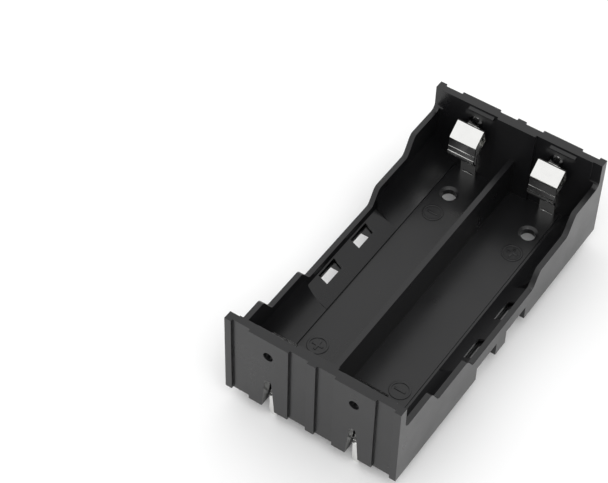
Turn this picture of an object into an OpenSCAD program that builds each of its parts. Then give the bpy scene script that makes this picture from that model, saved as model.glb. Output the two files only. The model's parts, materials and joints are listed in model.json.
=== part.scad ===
// Two-bay holder for cylindrical cells, made to be soldered or screwed to a board.
// One moulded housing and four folded spring contacts, in millimetres.
// X runs across the bays, Y along the cells and Z up, from the centre of the base plane.

/* [Housing] */
// Width across both bays
body_w = 40; // [38:0.5:46]
// Length over the end walls
body_l = 78.5; // [72:0.5:90]
// Height of the end walls
body_h = 21.3; // [20:0.1:26]
// Thickness of the floor
floor_t = 2; // [1.6:0.1:2.6]
// Thickness of the side walls
side_wall_t = 1.2; // [0.9:0.1:1.6]
// Thickness of the end walls over their panels
end_wall_t = 2.2; // [2:0.1:3]
// Distance between the middles of the bays
bay_pitch = 19.6; // [18.4:0.1:21]
// Thickness of the divider between the bays
divider_t = 1.2; // [0.8:0.1:2]
// Height of the divider above the base
divider_h = 11.5; // [8:0.5:16]
// Radius at the foot of the divider
divider_foot_r = 0.5; // [0.2:0.1:1]

/* [Side wall outline] */
// Top of the low middle stretch
low_top = 7.1; // [6:0.1:8.5]
// Top of the middle steps
mid_top = 10.7; // [9.5:0.1:12.5]
// Top of the high stretches
high_top = 15.1; // [13.5:0.1:17]
// Half length of the low stretch
low_half_l = 11.3; // [10:0.1:12.5]
// Length of the curve from the low stretch to the middle step
lower_curve_l = 3.35; // [2:0.05:4]
// Length of the middle step
mid_step_l = 9.9; // [6:0.1:11]
// Length of the curve from the middle step to the high stretch
upper_curve_l = 3.7; // [2:0.1:4.5]
// Thickness of the end walls' corners
corner_t = 2; // [1.5:0.1:2.6]
// Radius where the side wall meets the corner
corner_r = 1.5; // [0.5:0.1:3]

/* [Cradle] */
// Radius of the curve between floor and side wall
cradle_r = 5.7; // [4:0.1:6.5]
// Thickness of the curved wall over the pockets
cradle_t = 1.3; // [1:0.1:1.8]
// Half length of the flat ramp that carries the curve on in the middle
ramp_half_l = 13.2; // [12.6:0.1:16]
// Slope of the ramp, in degrees
ramp_angle = 38; // [35:0.5:40]
// Width of the shallow groove along the floor
groove_w = 0.65; // [0.4:0.05:1]
// Depth of the shallow groove along the floor
groove_depth = 0.2; // [0.1:0.05:0.4]

/* [End walls] */
// Depth of the recesses between the panels
recess_depth = 0.6; // [0.3:0.1:0.9]
// Width of the raised panel over each bay
panel_w = 9.2; // [7:0.1:11]
// Width of the raised rib between the bays
centre_rib_w = 2; // [1:0.1:4]
// Width of the raised corners
corner_w = 1.5; // [1:0.1:3]
// Width of a pin slot at the base
slot_base_w = 3; // [2.6:0.1:4]
// Width of a pin slot at its round top
slot_top_w = 1.6; // [1.2:0.1:2.4]
// Height of a pin slot
slot_h = 9; // [6:0.1:11]
// Depth of a pin slot in the floor, from the end face
slot_depth = 3.3; // [3.1:0.1:4.5]
// Diameter of the hole for the contact's tongue
tongue_hole_d = 2.2; // [2:0.1:3]
// Height of the hole for the contact's tongue
tongue_z = 16.6; // [15.5:0.1:16.8]
// Diameter of the hole's wide mouth on the inner face
mouth_d = 3.4; // [3:0.1:3.8]
// Depth of the hole's wide mouth
mouth_depth = 0.85; // [0.7:0.05:1.1]
// Thickness of the pad between the contacts, on the inner face
pad_t = 0.6; // [0.2:0.1:1.2]
// Width of the pad between the contacts
pad_w = 9.2; // [4:0.1:11]
// Width of the ledge over each contact
ledge_w = 6; // [3:0.1:6.6]
// Distance from the middle of the bay to the middle of its ledge
ledge_shift = 1.3; // [0:0.1:2]
// Reach of the ledge over each contact
ledge_reach = 0.65; // [0.3:0.05:1]
// Height of the ledge's upper edge, down from the top
ledge_drop = 0.6; // [0.2:0.1:1]

/* [Underside] */
// Wall left between the faces and the pockets
rim_t = 1.85; // [1.5:0.05:2.4]
// Width of the pockets
pocket_w = 3.25; // [2:0.05:4]
// Start of the long pockets, from the middle
pocket_start = 11.45; // [10.5:0.05:14]
// Half width of the block between the notches
block_half_w = 1.95; // [1.4:0.05:3]
// Half length of the small pocket in the block
block_pocket_half_l = 0.95; // [0.4:0.05:1.2]
// Length of a notch
notch_l = 7.6; // [6:0.1:8]
// Depth of a notch, in from the side face
notch_depth = 3.3; // [2.5:0.05:3.6]
// Height of a notch at the side face
notch_h = 3.6; // [3:0.1:4]
// Length of a window
window_l = 5.3; // [3:0.1:6]
// Width of a window
window_w = 1.85; // [1:0.05:2]

/* [Screw holes] */
// Diameter of the screw holes
screw_d = 3.2; // [2.5:0.1:3.6]
// Diameter of the countersinks
sink_d = 5.6; // [4.6:0.1:6.4]
// Depth of the countersinks
sink_depth = 1.2; // [0.8:0.1:1.4]
// Distance between the screw holes along a bay
screw_spacing = 57.1; // [44:0.1:58]
// Diameter of the spot face under each hole
spot_d = 5.5; // [4.5:0.1:7]
// Depth of the spot face under each hole
spot_depth = 0.15; // [0.05:0.05:0.3]

/* [Contacts] */
// Thickness of the contact strip
strip_t = 0.4; // [0.25:0.05:0.5]
// Width of the contact leaf
leaf_w = 6.4; // [4.8:0.1:7]
// Width of the riser behind the leaf, at its widest
back_w = 7.2; // [7:0.1:8]
// Height at which the riser is widest
back_z = 14.4; // [13:0.1:15]
// Width of the riser's lower part
riser_w = 3.6; // [3.2:0.1:4.5]
// Height at which the riser starts to widen
shoulder_z = 8.4; // [5:0.1:9]
// Width of the foot
foot_w = 2.2; // [1.9:0.1:2.4]
// Width of the solder pin
pin_w = 1.85; // [1:0.05:1.9]
// Length of the solder pin below the base
pin_drop = 4.1; // [3:0.1:6]
// Distance from the end face to the middle of the pin
pin_inset = 2.15; // [1.8:0.05:2.4]
// Distance from the end wall to the riser's foot
riser_gap = 0.7; // [0.65:0.05:0.85]
// Distance from the end wall to the riser's top
riser_top_gap = 1.36; // [1.3:0.02:1.8]
// Height of the corner that the fold rounds off
fold_z = 17.5; // [17:0.05:18]
// Reach of the leaf's brow from the end wall
brow_reach = 4.75; // [3.6:0.05:5]
// Height of the leaf's brow
brow_z = 14.6; // [14.2:0.1:15.4]
// Height of the waist between the brow and the nose
waist_z = 12.2; // [12:0.1:12.6]
// Reach of the nose's corner from the end wall
nose_reach = 5.6; // [5.3:0.05:6]
// Height of the nose's corner
nose_z = 10.9; // [10.6:0.1:11.2]
// Reach of the leaf's free end
tip_reach = 4.4; // [4:0.05:4.8]
// Height of the leaf's free end
tip_z = 9; // [8.6:0.1:9.3]
// Radius of the fold, along the middle of the strip
fold_r = 0.45; // [0.3:0.05:0.6]
// Radius of the brow, along the middle of the strip
brow_r = 1; // [0.6:0.1:1.4]
// Radius of the waist, along the middle of the strip
waist_r = 0.7; // [0.4:0.1:1]
// Radius of the nose, along the middle of the strip
nose_r = 0.8; // [0.5:0.1:1]
// Radius of the bends at the foot
foot_r = 0.3; // [0.26:0.01:0.32]
// Width of the tongue behind the riser
tab_w = 2.2; // [1.8:0.1:2.4]
// Distance from the end wall to the tongue's shoulders
tab_gap = 0.5; // [0.45:0.05:0.8]
// Width of the tongue's tip
tongue_w = 1.3; // [0.8:0.1:1.5]
// Height of the tongue over the middle of its hole
tongue_lift = 0.3; // [0:0.05:0.4]
// Length of the tongue's tip inside the end wall
tongue_reach = 0.95; // [0.3:0.05:1]

/* [Hidden] */
$fn = 48;

plastic = "#232325";
metal = "#d8d9da";
past = 1;                                   // how far a cut runs out of the solid
steps = 10;                                 // flats along each curve of the side wall's outline
bend_steps = 8;                             // flats along each bend of the strip

half_w = body_w / 2;
half_l = body_l / 2;
bay_x = bay_pitch / 2;
inner_y = half_l - end_wall_t;              // inner face of the end walls
side_x = half_w - side_wall_t;              // inner face of the side walls
cradle_x = side_x - cradle_r;               // where the cradle's curve leaves the floor
cradle_z = floor_t + cradle_r;
mid_start = low_half_l + lower_curve_l;
high_start = mid_start + mid_step_l + upper_curve_l;
corner_y = half_l - corner_t;
ramp_foot = side_wall_t + cradle_r * (1 - sin(ramp_angle));     // in from the side face
ramp_foot_z = cradle_z - cradle_r * cos(ramp_angle);
ramp_drop = cradle_t / cos(ramp_angle);
notch_y = block_half_w + notch_l / 2;       // middle of a notch and of its window
pin_y = pin_inset - end_wall_t;             // middle of the pin, in from the inner face
foot_z = floor_t - strip_t / 2;             // middle of the strip along the foot

// ---- helpers ----

function turned(v, a) = [v.x * cos(a) - v.y * sin(a), v.x * sin(a) + v.y * cos(a)];

function towards(a, b) = (b - a) / norm(b - a);

// Signed turn from one direction to the next, in degrees.
function turn(u, v) = atan2(u.x * v.y - u.y * v.x, u * v);

// Points of the arc of radius r that rounds off corner b between a and c.
function rounded(a, b, c, r) =
    let (
        u = towards(a, b),
        v = towards(b, c),
        bend = turn(u, v),
        start = b - u * r * tan(abs(bend) / 2),
        centre = start + turned(u, 90 * sign(bend)) * r
    )
    [for (i = [0 : bend_steps]) centre + turned(start - centre, bend * i / bend_steps)];

// Direction of a path at point i.
function heading(path, i) =
    towards(path[max(i - 1, 0)], path[min(i + 1, len(path) - 1)]);

// Closed outline of a strip of thickness t that follows a path.
function strip_outline(path, t) = concat(
    [for (i = [0 : len(path) - 1]) path[i] + turned(heading(path, i), 90) * t / 2],
    [for (i = [len(path) - 1 : -1 : 0]) path[i] - turned(heading(path, i), 90) * t / 2]
);

// Half of the side wall's S-curve, from height z0 at y0 to height z1 at y1.
function s_curve(y0, z0, y1, z1) =
    [for (i = [0 : steps]) let (f = i / steps)
        [y0 + (y1 - y0) * f, z0 + (z1 - z0) * f * f * (3 - 2 * f)]];

// A solid with a YZ outline, between two X positions.
module along_x(x0, x1) {
    translate([x0, 0, 0]) rotate([90, 0, 90]) linear_extrude(x1 - x0) children();
}

// A solid with an XZ outline, between two Y positions.
module along_y(y0, y1) {
    translate([0, y1, 0]) rotate([90, 0, 0]) linear_extrude(y1 - y0) children();
}

module both_sides() {
    children();
    mirror([1, 0, 0]) children();
}

module both_ends() {
    children();
    mirror([0, 1, 0]) children();
}

// ---- housing ----

// Bay with the round corner that cradles a cell.
module round_bay() {
    along_y(-inner_y, inner_y) {
        translate([divider_t / 2, floor_t]) square([cradle_x - divider_t / 2, body_h]);
        translate([divider_t / 2, cradle_z]) square([side_x - divider_t / 2, body_h]);
        translate([cradle_x, cradle_z]) circle(cradle_r);
    }
}

// Height of the ramp at a distance in from the side face.
function ramp_over(s) = ramp_foot_z + (ramp_foot - s) * tan(ramp_angle);

// What the flat ramp takes off outside the round corner, in the low middle.
module ramp_cut() {
    along_y(-ramp_half_l, ramp_half_l) polygon([
        [half_w - ramp_foot, ramp_foot_z],
        [side_x, ramp_over(side_wall_t)],
        [side_x, cradle_z + past],
        [half_w - ramp_foot, cradle_z + past]
    ]);
}

module divider_fillet() {
    along_y(-inner_y - past / 2, inner_y + past / 2)
        difference() {
            translate([divider_t / 2 - past, floor_t - past])
                square(divider_foot_r + past);
            translate([divider_t / 2 + divider_foot_r, floor_t + divider_foot_r])
                circle(divider_foot_r);
        }
}

// What is taken off above the divider and above each side wall.
module above_divider() {
    translate([-divider_t, -inner_y, divider_h]) cube([divider_t * 2, inner_y * 2, body_h]);
}

module above_side_wall() {
    rise = high_top + corner_r;
    along_x(side_x - past, half_w + past) polygon(concat(
        [[-past, body_h + past], [-past, low_top]],
        s_curve(low_half_l, low_top, mid_start, mid_top),
        s_curve(high_start - upper_curve_l, mid_top, high_start, high_top),
        [for (i = [0 : steps]) [
            corner_y - corner_r + corner_r * sin(90 * i / steps),
            rise - corner_r * cos(90 * i / steps)
        ]],
        [[corner_y, body_h + past]]
    ));
}

// Recesses between the raised corners, panels and centre rib of an end wall.
module end_recesses() {
    panel_x0 = bay_x - panel_w / 2;
    panel_x1 = bay_x + panel_w / 2;
    for (zone = [[centre_rib_w / 2, panel_x0], [panel_x1, half_w - corner_w]])
        translate([zone[0], half_l - recess_depth, -past])
            cube([zone[1] - zone[0], recess_depth + past, body_h + past * 2]);
}

// Tapered slot that the pin and the foot of a contact sit in.
module pin_slot() {
    top_r = slot_top_w / 2;
    along_y(half_l - slot_depth, half_l + past) translate([bay_x, 0]) {
        polygon([
            [-slot_base_w / 2, -past],
            [slot_base_w / 2, -past],
            [slot_base_w / 2, 0],
            [top_r, slot_h - top_r],
            [-top_r, slot_h - top_r],
            [-slot_base_w / 2, 0]
        ]);
        translate([0, slot_h - top_r]) circle(top_r);
    }
}

module tongue_hole() {
    translate([bay_x, inner_y - past, tongue_z]) rotate([-90, 0, 0]) {
        cylinder(h = end_wall_t + past * 2, d = tongue_hole_d);
        cylinder(h = past + mouth_depth, d = mouth_d);
    }
}

module screw_hole() {
    translate([bay_x, screw_spacing / 2, 0]) {
        translate([0, 0, -past]) cylinder(h = floor_t + past * 2, d = screw_d);
        translate([0, 0, floor_t - sink_depth])
            cylinder(h = sink_depth, d1 = screw_d, d2 = sink_d);
        translate([0, 0, -past]) cylinder(h = past + spot_depth, d = spot_d);
    }
}

// Underside pocket whose ceiling follows the cradle.
module pocket(y0, y1) {
    difference() {
        translate([half_w - rim_t - pocket_w, y0, -past])
            cube([pocket_w, y1 - y0, cradle_z]);
        translate([cradle_x, y0 - past, cradle_z]) rotate([-90, 0, 0])
            cylinder(h = y1 - y0 + past * 2, r = cradle_r + cradle_t, $fn = 96);
    }
}

// Notch in the lower edge, with a window through the ramp above it.
module notch() {
    brow = ramp_foot - (notch_h - ramp_foot_z + ramp_drop) / tan(ramp_angle);
    along_y(notch_y - notch_l / 2, notch_y + notch_l / 2) polygon([
        [half_w + past, -past],
        [half_w + past, notch_h],
        [half_w - brow, notch_h],
        [half_w - notch_depth, ramp_over(notch_depth) - ramp_drop],
        [half_w - notch_depth, -past]
    ]);
    translate([half_w - notch_depth, notch_y - window_l / 2, 0])
        cube([window_w, window_l, low_top]);
}

module floor_groove() {
    translate([cradle_x - groove_w / 2, -inner_y, floor_t - groove_depth])
        cube([groove_w, inner_y * 2, groove_depth + past]);
}

// Thicker pad on the end wall between the two contacts.
module end_pad() {
    translate([-pad_w / 2, inner_y - pad_t, floor_t - past / 2])
        cube([pad_w, pad_t + past / 2, body_h - floor_t + past / 2]);
}

// Wedge that keeps the cell from lifting, over the contact of one bay at the far end.
module ledge(middle) {
    top = body_h - ledge_drop;
    along_x(middle - ledge_w / 2, middle + ledge_w / 2) polygon([
        [inner_y + past / 2, top],
        [inner_y, top],
        [inner_y - ledge_reach, top - ledge_reach / 2],
        [inner_y - ledge_reach, top - ledge_reach],
        [inner_y, top - ledge_reach * 1.6],
        [inner_y + past / 2, top - ledge_reach * 1.6]
    ]);
}

module holder_body() {
    color(plastic) difference() {
        union() {
            difference() {
                translate([-half_w, -half_l, 0]) cube([body_w, body_l, body_h]);
                both_sides() round_bay();
                both_sides() ramp_cut();
                above_divider();
                both_sides() both_ends() above_side_wall();
            }
            both_sides() divider_fillet();
            both_ends() end_pad();
            for (side = [-1, 1], spin = [0, 180])
                rotate([0, 0, spin]) ledge(side * bay_x + ledge_shift);
        }
        both_sides() both_ends() end_recesses();
        both_sides() both_ends() pin_slot();
        both_sides() both_ends() tongue_hole();
        both_sides() both_ends() screw_hole();
        both_sides() both_ends() pocket(pocket_start, half_l - rim_t);
        both_sides() pocket(-block_pocket_half_l, block_pocket_half_l);
        both_sides() both_ends() notch();
        both_sides() floor_groove();
    }
}

// ---- contacts ----

// Middle line of the strip, as distance in from the end wall and height.
function contact_path() =
    let (
        tip = [pin_y, -pin_drop],
        heel = [pin_y, foot_z],
        toe = [riser_gap, foot_z],
        fold = [riser_top_gap, fold_z],
        brow = [brow_reach, brow_z],
        waist = [brow_reach, waist_z],
        nose = [nose_reach, nose_z],
        end = [tip_reach, tip_z]
    )
    concat(
        [tip],
        rounded(tip, heel, toe, foot_r),
        rounded(heel, toe, fold, foot_r),
        rounded(toe, fold, brow, fold_r),
        rounded(fold, brow, waist, brow_r),
        rounded(brow, waist, nose, waist_r),
        rounded(waist, nose, end, nose_r),
        [end]
    );

// Front outline of the pin, the foot and the riser.
module riser_front() {
    pin_r = pin_w / 2;
    translate([0, pin_r - pin_drop]) circle(pin_r);
    translate([-pin_r, pin_r - pin_drop]) square([pin_w, pin_drop + foot_z]);
    translate([-foot_w / 2, foot_z - strip_t]) square([foot_w, strip_t * 3]);
    polygon([
        [-riser_w / 2, floor_t],
        [riser_w / 2, floor_t],
        [riser_w / 2, shoulder_z],
        [back_w / 2, back_z],
        [leaf_w / 2, tongue_z],
        [leaf_w / 2, fold_z],
        [-leaf_w / 2, fold_z],
        [-leaf_w / 2, tongue_z],
        [-back_w / 2, back_z],
        [-riser_w / 2, shoulder_z]
    ]);
}

module leaf_front() {
    translate([-leaf_w / 2, tip_z - strip_t]) square([leaf_w, fold_z - tip_z + strip_t]);
}

// Tongue that the riser holds in the end wall's hole.
module tongue() {
    lean = (riser_top_gap - riser_gap) / (fold_z - foot_z);
    root = riser_gap + (tongue_z - foot_z) * lean;
    translate([0, 0, tongue_z + tongue_lift - strip_t / 2]) {
        translate([-tab_w / 2, tab_gap, 0]) cube([tab_w, root - tab_gap, strip_t]);
        translate([-tongue_w / 2, -tongue_reach, 0])
            cube([tongue_w, root + tongue_reach, strip_t]);
    }
}

// One contact at the origin: Y is the distance in from the end wall.
module contact() {
    split = riser_top_gap + strip_t;
    color(metal) {
        intersection() {
            along_x(-back_w, back_w) polygon(strip_outline(contact_path(), strip_t));
            union() {
                along_y(-end_wall_t, split) riser_front();
                along_y(split - strip_t / 2, nose_reach + strip_t) leaf_front();
            }
        }
        tongue();
    }
}

// A contact against the inner face of an end wall: end is -1 for the near one, 1 for the far one.
module placed_contact(x, end) {
    translate([x, end * inner_y, 0]) mirror([0, max(end, 0), 0]) contact();
}

module contact_near_left() {
    placed_contact(-bay_x, -1);
}

module contact_near_right() {
    placed_contact(bay_x, -1);
}

module contact_far_left() {
    placed_contact(-bay_x, 1);
}

module contact_far_right() {
    placed_contact(bay_x, 1);
}

holder_body();
contact_near_left();
contact_near_right();
contact_far_left();
contact_far_right();
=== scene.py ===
# Two-bay cell holder, dressed for a studio render. All sizes are in metres, in the frame of the CAD.
import json
import math

import bpy
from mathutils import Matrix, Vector


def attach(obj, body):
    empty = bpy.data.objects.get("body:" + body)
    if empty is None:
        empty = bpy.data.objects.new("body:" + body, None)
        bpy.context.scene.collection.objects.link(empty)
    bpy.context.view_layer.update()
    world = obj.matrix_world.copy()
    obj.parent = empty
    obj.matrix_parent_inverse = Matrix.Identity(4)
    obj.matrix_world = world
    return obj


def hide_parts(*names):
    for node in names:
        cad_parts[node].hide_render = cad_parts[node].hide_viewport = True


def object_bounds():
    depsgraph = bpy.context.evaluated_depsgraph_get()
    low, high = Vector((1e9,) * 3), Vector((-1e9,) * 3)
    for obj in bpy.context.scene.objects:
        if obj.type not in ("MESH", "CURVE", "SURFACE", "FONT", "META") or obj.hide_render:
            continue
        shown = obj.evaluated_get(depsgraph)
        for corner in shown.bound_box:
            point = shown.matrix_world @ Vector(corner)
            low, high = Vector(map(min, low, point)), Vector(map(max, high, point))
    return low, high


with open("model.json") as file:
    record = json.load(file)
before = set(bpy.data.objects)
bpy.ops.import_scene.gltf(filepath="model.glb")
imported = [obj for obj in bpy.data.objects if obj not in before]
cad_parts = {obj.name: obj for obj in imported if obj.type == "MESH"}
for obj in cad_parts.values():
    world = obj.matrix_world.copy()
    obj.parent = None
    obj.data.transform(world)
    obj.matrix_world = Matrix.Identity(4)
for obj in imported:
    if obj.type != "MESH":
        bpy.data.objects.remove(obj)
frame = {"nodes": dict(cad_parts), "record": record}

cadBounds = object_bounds()
mm = 0.001
floorTop = 2.0 * mm
mergeDistance = 0.002 * mm
screwHoles = next(mount["dims"] for mount in frame["record"]["mounts"] if mount["name"] == "screw_holes")
bayX = screwHoles["spacing_x_mm"] / 2 * mm


def clearSelection():
    if bpy.context.object and bpy.context.object.mode != "OBJECT":
        bpy.ops.object.mode_set(mode="OBJECT")
    bpy.ops.object.select_all(action="DESELECT")


def makeActive(piece):
    clearSelection()
    piece.select_set(True)
    bpy.context.view_layer.objects.active = piece


def copyOfNode(nodeName, pieceName, flatAngle=0.6):
    # the CAD mesh is loose triangles, so the copy is merged and its flats are joined up
    source = frame["nodes"][nodeName]
    piece = bpy.data.objects.new(pieceName, source.data.copy())
    bpy.context.scene.collection.objects.link(piece)
    piece.data.materials.clear()
    makeActive(piece)
    bpy.ops.object.mode_set(mode="EDIT")
    bpy.ops.mesh.select_all(action="SELECT")
    bpy.ops.mesh.customdata_custom_splitnormals_clear()
    bpy.ops.mesh.remove_doubles(threshold=mergeDistance)
    bpy.ops.mesh.dissolve_limited(angle_limit=math.radians(flatAngle), use_dissolve_boundaries=False)
    bpy.ops.mesh.select_all(action="DESELECT")
    bpy.ops.object.mode_set(mode="OBJECT")
    return piece


def roundEdges(piece, look):
    makeActive(piece)
    bevel = piece.modifiers.new("edges", "BEVEL")
    bevel.width = look["edgeWidth"]
    bevel.segments = look["edgeSegments"]
    bevel.limit_method = "ANGLE"
    bevel.angle_limit = math.radians(look["edgeAngle"])
    bevel.use_clamp_overlap = True
    bevel.harden_normals = False
    bevel.miter_outer = "MITER_SHARP"
    bpy.ops.object.modifier_apply(modifier=bevel.name)


def keepInBox(piece):
    # a rounded corner may not stand past the solids' own box
    low, high = cadBounds
    for vertex in piece.data.vertices:
        for axis in range(3):
            vertex.co[axis] = min(max(vertex.co[axis], low[axis]), high[axis])


def smoothByAngle(piece, look, flatWeight=60):
    # the big flats keep their own normal, so the rounded edges take up the whole turn
    makeActive(piece)
    bpy.ops.object.shade_smooth_by_angle(angle=math.radians(look["smoothAngle"]))
    weigh = piece.modifiers.new("flat_normals", "WEIGHTED_NORMAL")
    weigh.keep_sharp = True
    weigh.weight = flatWeight
    bpy.ops.object.modifier_apply(modifier=weigh.name)


def placeInMesh(piece):
    makeActive(piece)
    bpy.ops.object.transform_apply(location=True, rotation=True, scale=True)


def selectVertices(piece, wanted):
    # picks vertices by their place, from object mode, and goes back to edit mode
    bpy.ops.mesh.select_all(action="DESELECT")
    bpy.ops.mesh.select_mode(type="VERT")
    bpy.ops.object.mode_set(mode="OBJECT")
    for vertex in piece.data.vertices:
        vertex.select = wanted(vertex.co)
    bpy.ops.object.mode_set(mode="EDIT")
    bpy.ops.mesh.select_mode(type="EDGE")


def newMaterial(name):
    material = bpy.data.materials.new(name)
    material.use_nodes = True
    nodes = material.node_tree.nodes
    nodes.clear()
    output = nodes.new("ShaderNodeOutputMaterial")
    shader = nodes.new("ShaderNodeBsdfPrincipled")
    material.node_tree.links.new(shader.outputs["BSDF"], output.inputs["Surface"])
    return material, shader


def addNoise(material, scale, detail, roughness=0.5):
    nodes = material.node_tree.nodes
    links = material.node_tree.links
    place = nodes.new("ShaderNodeTexCoord")
    noise = nodes.new("ShaderNodeTexNoise")
    noise.inputs["Scale"].default_value = scale
    noise.inputs["Detail"].default_value = detail
    noise.inputs["Roughness"].default_value = roughness
    links.new(place.outputs["Object"], noise.inputs["Vector"])
    return noise


def addRange(material, source, low, high, start=0.3, end=0.7):
    nodes = material.node_tree.nodes
    spread = nodes.new("ShaderNodeMapRange")
    spread.inputs["From Min"].default_value = start
    spread.inputs["From Max"].default_value = end
    spread.inputs["To Min"].default_value = low
    spread.inputs["To Max"].default_value = high
    material.node_tree.links.new(source, spread.inputs["Value"])
    return spread


def addBump(material, shader, height, strength, distance, below=None):
    nodes = material.node_tree.nodes
    links = material.node_tree.links
    bump = nodes.new("ShaderNodeBump")
    bump.inputs["Strength"].default_value = strength
    bump.inputs["Distance"].default_value = distance
    links.new(height, bump.inputs["Height"])
    if below:
        links.new(below.outputs["Normal"], bump.inputs["Normal"])
    links.new(bump.outputs["Normal"], shader.inputs["Normal"])
    return bump


mouldedPlastic = {
    "deepColor": (0.0050, 0.0050, 0.0056, 1),
    "paleColor": (0.0080, 0.0080, 0.0088, 1),
    "roughLow": 0.26,
    "roughHigh": 0.36,
    "ior": 1.5,
    "cloudScale": 90,
    "cloudDetail": 5,
    "waveScale": 140,
    "waveDetail": 2,
    "waveStrength": 0.06,
    "waveDepth": 0.4 * mm,
    "grainScale": 5200,
    "grainDetail": 3,
    "grainRoughness": 0.6,
    "grainStrength": 0.08,
    "grainDepth": 0.03 * mm,
}


def makePlastic():
    look = mouldedPlastic
    material, shader = newMaterial("moulded_black_plastic")
    shader.inputs["IOR"].default_value = look["ior"]
    clouds = addNoise(material, look["cloudScale"], look["cloudDetail"])
    mix = material.node_tree.nodes.new("ShaderNodeMix")
    mix.data_type = "RGBA"
    mix.inputs["A"].default_value = look["deepColor"]
    mix.inputs["B"].default_value = look["paleColor"]
    links = material.node_tree.links
    links.new(clouds.outputs["Fac"], mix.inputs["Factor"])
    links.new(mix.outputs["Result"], shader.inputs["Base Color"])
    rough = addRange(material, clouds.outputs["Fac"], look["roughLow"], look["roughHigh"])
    links.new(rough.outputs["Result"], shader.inputs["Roughness"])
    wave = addNoise(material, look["waveScale"], look["waveDetail"])
    slow = addBump(material, shader, wave.outputs["Fac"], look["waveStrength"], look["waveDepth"])
    grain = addNoise(material, look["grainScale"], look["grainDetail"], look["grainRoughness"])
    addBump(material, shader, grain.outputs["Fac"], look["grainStrength"], look["grainDepth"], slow)
    return material


platedStrip = {
    "color": (0.86, 0.86, 0.84, 1),
    "dullColor": (0.78, 0.78, 0.77, 1),
    "roughLow": 0.08,
    "roughHigh": 0.17,
    "rollScale": (900, 120, 120),
    "rollDetail": 4,
    "rollStrength": 0.08,
    "rollDepth": 0.02 * mm,
    "cloudScale": 600,
    "cloudDetail": 4,
}


def makeStripMetal():
    look = platedStrip
    material, shader = newMaterial("plated_spring_strip")
    nodes = material.node_tree.nodes
    links = material.node_tree.links
    shader.inputs["Metallic"].default_value = 1
    place = nodes.new("ShaderNodeTexCoord")
    stretch = nodes.new("ShaderNodeMapping")
    stretch.inputs["Scale"].default_value = look["rollScale"]
    rolled = nodes.new("ShaderNodeTexNoise")
    rolled.inputs["Scale"].default_value = 1
    rolled.inputs["Detail"].default_value = look["rollDetail"]
    links.new(place.outputs["Object"], stretch.inputs["Vector"])
    links.new(stretch.outputs["Vector"], rolled.inputs["Vector"])
    mix = nodes.new("ShaderNodeMix")
    mix.data_type = "RGBA"
    mix.inputs["A"].default_value = look["color"]
    mix.inputs["B"].default_value = look["dullColor"]
    clouds = addNoise(material, look["cloudScale"], look["cloudDetail"])
    links.new(clouds.outputs["Fac"], mix.inputs["Factor"])
    links.new(mix.outputs["Result"], shader.inputs["Base Color"])
    rough = addRange(material, rolled.outputs["Fac"], look["roughLow"], look["roughHigh"])
    links.new(rough.outputs["Result"], shader.inputs["Roughness"])
    addBump(material, shader, rolled.outputs["Fac"], look["rollStrength"], look["rollDepth"])
    return material


plasticMaterial = makePlastic()
stripMaterial = makeStripMetal()
print("materials made")


def solidBox(low, high):
    clearSelection()
    middle = [(a + b) / 2 for a, b in zip(low, high)]
    bpy.ops.mesh.primitive_cube_add(size=1, location=middle)
    box = bpy.context.object
    box.scale = [b - a for a, b in zip(low, high)]
    placeInMesh(box)
    return box


def lyingCylinder(x, z, radius, halfLength, sides=160):
    clearSelection()
    bpy.ops.mesh.primitive_cylinder_add(vertices=sides, radius=radius, depth=halfLength * 2,
                                        location=(x, 0, z), rotation=(math.pi / 2, 0, 0))
    placeInMesh(bpy.context.object)
    return bpy.context.object


def standingCylinder(x, y, bottom, top, radius, sides):
    clearSelection()
    bpy.ops.mesh.primitive_cylinder_add(vertices=sides, radius=radius, depth=top - bottom,
                                        location=(x, y, (bottom + top) / 2))
    placeInMesh(bpy.context.object)
    return bpy.context.object


def blockOver(side, point, slope, size=40 * mm):
    # everything over a plane that rises outwards through a point
    clearSelection()
    bpy.ops.mesh.primitive_cube_add(size=size, location=(0, 0, size / 2))
    block = bpy.context.object
    placeInMesh(block)
    block.rotation_euler = (0, -side * math.radians(slope), 0)
    block.location = (side * point[0], 0, point[1])
    placeInMesh(block)
    return block


def combine(piece, tool, operation):
    makeActive(piece)
    change = piece.modifiers.new("change", "BOOLEAN")
    change.operation = operation
    change.solver = "EXACT"
    change.object = tool
    bpy.ops.object.modifier_apply(modifier=change.name)
    makeActive(tool)
    bpy.ops.object.delete()


housingLook = {
    "windowX": (16.35 * mm, 18.55 * mm),
    "windowY": (3.1 * mm, 8.75 * mm),
    "windowZ": (1.5 * mm, 7.0 * mm),
    "dividerHalf": 0.6 * mm,
    "footRadius": 0.5 * mm,
    "near": 0.01 * mm,
    "edgeWidth": 0.12 * mm,
    "edgeSegments": 2,
    "edgeAngle": 32,
    "smoothAngle": 50,
}


def squareFoot(piece):
    # the divider meets the floor in an almost sharp corner, so its round is drawn together
    corner = housingLook["dividerHalf"]
    slack = housingLook["near"]
    reach = housingLook["footRadius"] + slack
    for vertex in piece.data.vertices:
        besideDivider = corner - slack < abs(vertex.co.x) < corner + reach
        overFloor = floorTop - slack < vertex.co.z < floorTop + reach
        if besideDivider and overFloor:
            vertex.co.x = math.copysign(corner, vertex.co.x)
            vertex.co.z = floorTop
    makeActive(piece)
    bpy.ops.object.mode_set(mode="EDIT")
    bpy.ops.mesh.select_all(action="SELECT")
    bpy.ops.mesh.remove_doubles(threshold=mergeDistance)
    bpy.ops.object.mode_set(mode="OBJECT")


def cutWindows(piece, side):
    z0, z1 = housingLook["windowZ"]
    x0, x1 = sorted(side * value for value in housingLook["windowX"])
    for end in (-1, 1):
        y0, y1 = sorted(end * value for value in housingLook["windowY"])
        combine(piece, solidBox((x0, y0, z0), (x1, y1, z1)), "DIFFERENCE")


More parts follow.
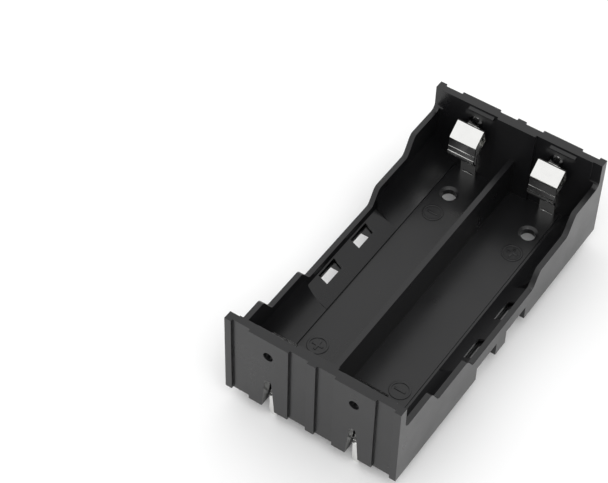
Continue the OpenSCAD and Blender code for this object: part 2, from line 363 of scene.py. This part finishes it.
def makeHousing():
    housing = copyOfNode("holder_body", "moulded_housing")
    squareFoot(housing)
    for side in (-1, 1):
        cutWindows(housing, side)
    roundEdges(housing, housingLook)
    keepInBox(housing)
    smoothByAngle(housing, housingLook)
    housing.data.materials.append(plasticMaterial)
    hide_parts("holder_body")
    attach(housing, "housing")


makeHousing()
print("housing dressed")


cradleLook = {
    "axisHeight": 10.7 * mm,
    "radius": 9.3 * mm,
    "footX": 13.1 * mm,
    "startX": 13.43 * mm,
    "wallX": 18.8 * mm,
    "inWall": 0.3 * mm,
    "bottom": 1.6 * mm,
    "top": 8.35 * mm,
    # middle and radius of the moulding's own curve, let in
    "wallCurve": (13.1 * mm, 7.7 * mm, 6.3 * mm),
    "rampHalfLength": 13.2 * mm,
    "endY": 37.25 * mm,
    "overrun": 4 * mm,
    "rampSlope": 29,
    "lowerSlope": 38,
    "lowerPoint": (16.61 * mm, 2.45 * mm),
    "edgeWidth": 0.02 * mm,
    "edgeSegments": 2,
    "edgeAngle": 40,
    "smoothAngle": 50,
}


def dressMoulding(piece, name, look):
    piece.name = name
    roundEdges(piece, look)
    smoothByAngle(piece, look)
    piece.data.materials.clear()
    piece.data.materials.append(plasticMaterial)
    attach(piece, "housing")


def cradleBlank(side, y0, y1):
    look = cradleLook
    x0, x1 = sorted((side * look["startX"], side * (look["wallX"] + look["inWall"])))
    y0, y1 = sorted((y0, y1))
    return solidBox((x0, y0, look["bottom"]), (x1, y1, look["top"]))


def makeRoundCradle(side, end, name):
    look = cradleLook
    curveX, curveZ, curveR = look["wallCurve"]
    reach = look["endY"] + look["overrun"]
    piece = cradleBlank(side, end * look["rampHalfLength"], end * look["endY"])
    combine(piece, lyingCylinder(side * curveX, curveZ, curveR, reach), "INTERSECT")
    combine(piece, lyingCylinder(side * bayX, look["axisHeight"], look["radius"], reach), "DIFFERENCE")
    dressMoulding(piece, name, look)


def makeRampCradle(side, name):
    look = cradleLook
    reach = look["rampHalfLength"]
    piece = cradleBlank(side, -reach, reach)
    combine(piece, blockOver(side, look["lowerPoint"], look["lowerSlope"]), "INTERSECT")
    combine(piece, blockOver(side, (look["footX"], floorTop), look["rampSlope"]), "DIFFERENCE")
    cutWindows(piece, side)
    dressMoulding(piece, name, look)


def makeCradles():
    for side, sideName in ((-1, "left"), (1, "right")):
        makeRampCradle(side, "cradle_ramp_" + sideName)
        for end, endName in ((-1, "near"), (1, "far")):
            makeRoundCradle(side, end, "cradle_" + endName + "_" + sideName)


makeCradles()
print("cradles made")


holeLook = {
    "halfSpacing": screwHoles["spacing_y_mm"] / 2 * mm,
    "boreRadius": screwHoles["hole_r_mm"] * mm,
    "boreReach": 3 * mm,
    "sinkRadius": 2.2 * mm,
    "sinkStart": 1.45 * mm,
    "outerRadius": 2.84 * mm,
    "bottom": 0.75 * mm,
    "top": 1.998 * mm,
    "sides": 64,
    "edgeWidth": 0.03 * mm,
    "edgeSegments": 2,
    "edgeAngle": 40,
    "smoothAngle": 50,
}


def sinkCone(x, y):
    # a 45 degree cone, drawn on by its own height at both ends
    look = holeLook
    rise = look["sinkRadius"] - look["boreRadius"]
    clearSelection()
    bpy.ops.mesh.primitive_cone_add(vertices=look["sides"], radius1=look["boreRadius"] - rise,
                                    radius2=look["sinkRadius"] + rise, depth=rise * 3,
                                    location=(x, y, look["sinkStart"] + rise / 2))
    placeInMesh(bpy.context.object)
    return bpy.context.object


def makeHoleRim(x, y, name):
    look = holeLook
    rim = standingCylinder(x, y, look["bottom"], look["top"], look["outerRadius"], look["sides"])
    bore = standingCylinder(x, y, -look["boreReach"], look["boreReach"], look["boreRadius"], look["sides"])
    combine(rim, bore, "DIFFERENCE")
    combine(rim, sinkCone(x, y), "DIFFERENCE")
    dressMoulding(rim, name, look)


def makeHoleRims():
    number = 0
    for side in (-1, 1):
        for end in (-1, 1):
            number += 1
            makeHoleRim(side * bayX, end * holeLook["halfSpacing"], "screw_hole_rim_" + str(number))


makeHoleRims()
print("screw holes made")


contactLook = {
    "nosePush": 0.3 * mm,
    "noseDrop": 0.25 * mm,
    "noseTop": 11.9 * mm,
    "noseBottom": 5 * mm,
    "leafReach": 3 * mm,
    "innerFace": 37.05 * mm,
    "edgeWidth": 0.1 * mm,
    "edgeSegments": 3,
    "edgeAngle": 50,
    "smoothAngle": 50,
}


def settleNose(strip, end):
    # the free end lies a little lower and nearer to its end wall than it does in the solid
    look = contactLook
    limit = look["innerFace"] - look["leafReach"]
    makeActive(strip)
    bpy.ops.object.mode_set(mode="EDIT")
    selectVertices(strip, lambda co: look["noseBottom"] < co.z < look["noseTop"] and abs(co.y) < limit)
    bpy.ops.transform.translate(value=(0, end * look["nosePush"], -look["noseDrop"]))
    bpy.ops.object.mode_set(mode="OBJECT")


def makeContacts():
    for bodyName, nodeNames in frame["record"]["behaviour"]["bodies"].items():
        for nodeName in nodeNames:
            if not nodeName.startswith("contact_"):
                continue
            strip = copyOfNode(nodeName, nodeName.replace("contact_", "spring_contact_"))
            settleNose(strip, 1 if "far" in nodeName else -1)
            roundEdges(strip, contactLook)
            smoothByAngle(strip, contactLook)
            strip.data.materials.append(stripMaterial)
            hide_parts(nodeName)
            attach(strip, bodyName)


makeContacts()
print("contacts dressed")


polarityMark = {
    "ringRadius": 2.3 * mm,
    "ringWidth": 0.5 * mm,
    "height": 0.14 * mm,
    "barLength": 2.6 * mm,
    "barWidth": 0.55 * mm,
    "fromCentre": 21.8 * mm,
    "sunk": 0.05 * mm,
    "near": 0.05 * mm,
    "sides": 48,
    "plusEnds": ("near_left_flex", "far_right_flex"),
    "edgeWidth": 0.06 * mm,
    "edgeSegments": 2,
    "edgeAngle": 40,
    "smoothAngle": 50,
}


def flatRing(x, y, z):
    clearSelection()
    bpy.ops.mesh.primitive_circle_add(vertices=polarityMark["sides"], radius=polarityMark["ringRadius"],
                                      fill_type="NGON", location=(x, y, z))
    ring = bpy.context.object
    placeInMesh(ring)
    bpy.ops.object.mode_set(mode="EDIT")
    bpy.ops.mesh.select_all(action="SELECT")
    bpy.ops.mesh.inset(thickness=polarityMark["ringWidth"])
    bpy.ops.mesh.delete(type="FACE")
    bpy.ops.object.mode_set(mode="OBJECT")
    return ring


def flatSign(x, y, z, isPlus):
    # a small square whose edges are drawn out into the arms
    clearSelection()
    width = polarityMark["barWidth"]
    reach = (polarityMark["barLength"] - width) / 2
    bpy.ops.mesh.primitive_plane_add(size=width, location=(x, y, z))
    sign = bpy.context.object
    placeInMesh(sign)
    bpy.ops.object.mode_set(mode="EDIT")
    arms = [(1, 0), (-1, 0)] + ([(0, 1), (0, -1)] if isPlus else [])
    near = polarityMark["near"]
    for armX, armY in arms:
        edgeX = x + armX * width / 2
        edgeY = y + armY * width / 2
        selectVertices(sign, lambda co: (abs(co.x - edgeX) < near and abs(co.y - y) < width if armX
                                         else abs(co.y - edgeY) < near and abs(co.x - x) < width))
        bpy.ops.mesh.extrude_region_move(
            TRANSFORM_OT_translate={"value": (armX * reach, armY * reach, 0)})
    bpy.ops.object.mode_set(mode="OBJECT")
    return sign


def makePolarityMark(x, y, isPlus, name):
    z = floorTop - polarityMark["sunk"]
    ring = flatRing(x, y, z)
    sign = flatSign(x, y, z, isPlus)
    makeActive(ring)
    sign.select_set(True)
    bpy.ops.object.join()
    thicken = ring.modifiers.new("height", "SOLIDIFY")
    thicken.thickness = polarityMark["height"] + polarityMark["sunk"]
    thicken.offset = 1
    bpy.ops.object.modifier_apply(modifier=thicken.name)
    dressMoulding(ring, name, polarityMark)


def makePolarityMarks():
    # one mark in front of each contact
    for joint in frame["record"]["behaviour"]["joints"]:
        x, hingeY = joint["pos_m"][:2]
        y = math.copysign(polarityMark["fromCentre"], hingeY)
        isPlus = joint["name"] in polarityMark["plusEnds"]
        makePolarityMark(x, y, isPlus, "polarity_" + joint["name"].replace("_flex", ""))


makePolarityMarks()
print("polarity marks made")


studio = {
    "floorSize": 6,
    "floorColor": (0.96, 0.96, 0.96, 1),
    "floorRoughness": 0.9,
    "skyColor": (1, 1, 1, 1),
    "worldStrength": 1.06,
    "sideShade": 0.78,
    "sideStart": 0.1,
    "sideEnd": 0.5,
    "keyPower": 2.6,
    "keySize": 0.6,
    "keyPlace": (0.35, -0.4, 0.9),
}


def makeFloor():
    lowest = cadBounds[0][2]
    clearSelection()
    bpy.ops.mesh.primitive_plane_add(size=studio["floorSize"], location=(0, 0, lowest))
    floor = bpy.context.object
    floor.name = "studio_floor"
    material, shader = newMaterial("pale_floor")
    shader.inputs["Base Color"].default_value = studio["floorColor"]
    shader.inputs["Roughness"].default_value = studio["floorRoughness"]
    shader.inputs["Specular IOR Level"].default_value = 0
    floor.data.materials.append(material)


def makeLights():
    world = bpy.data.worlds.new("studio_world")
    world.use_nodes = True
    nodes = world.node_tree.nodes
    links = world.node_tree.links
    background = nodes["Background"]
    background.inputs["Color"].default_value = studio["skyColor"]
    # the sky is a little darker on the right
    place = nodes.new("ShaderNodeTexCoord")
    split = nodes.new("ShaderNodeSeparateXYZ")
    shade = nodes.new("ShaderNodeMapRange")
    shade.inputs["From Min"].default_value = studio["sideStart"]
    shade.inputs["From Max"].default_value = studio["sideEnd"]
    shade.inputs["To Min"].default_value = studio["worldStrength"]
    shade.inputs["To Max"].default_value = studio["worldStrength"] * studio["sideShade"]
    links.new(place.outputs["Generated"], split.inputs["Vector"])
    links.new(split.outputs["X"], shade.inputs["Value"])
    links.new(shade.outputs["Result"], background.inputs["Strength"])
    bpy.context.scene.world = world
    bpy.ops.object.light_add(type="AREA", location=studio["keyPlace"])
    key = bpy.context.object
    key.name = "key_light"
    key.data.energy = studio["keyPower"]
    key.data.size = studio["keySize"]
    aim = Vector((0, 0, 0)) - key.location
    key.rotation_euler = aim.to_track_quat("-Z", "Y").to_euler()


cameraSettings = {
    "place": (0.1197, -0.2252, 0.3125),
    "turn": (40.84, -0.98, 34.40),         # degrees about X, Y and Z
    "lens": 115.8,
    "sensor": 36,
    "clipStart": 0.01,
    "clipEnd": 50,
}


def makeCamera():
    data = bpy.data.cameras.new("view_camera")
    data.lens = cameraSettings["lens"]
    data.sensor_width = cameraSettings["sensor"]
    data.clip_start = cameraSettings["clipStart"]
    data.clip_end = cameraSettings["clipEnd"]
    camera = bpy.data.objects.new("view_camera", data)
    bpy.context.scene.collection.objects.link(camera)
    camera.location = cameraSettings["place"]
    camera.rotation_euler = [math.radians(value) for value in cameraSettings["turn"]]
    bpy.context.scene.camera = camera


makeFloor()
makeLights()
makeCamera()
bpy.context.scene.view_settings.view_transform = "Standard"
print("floor, lights and camera made")
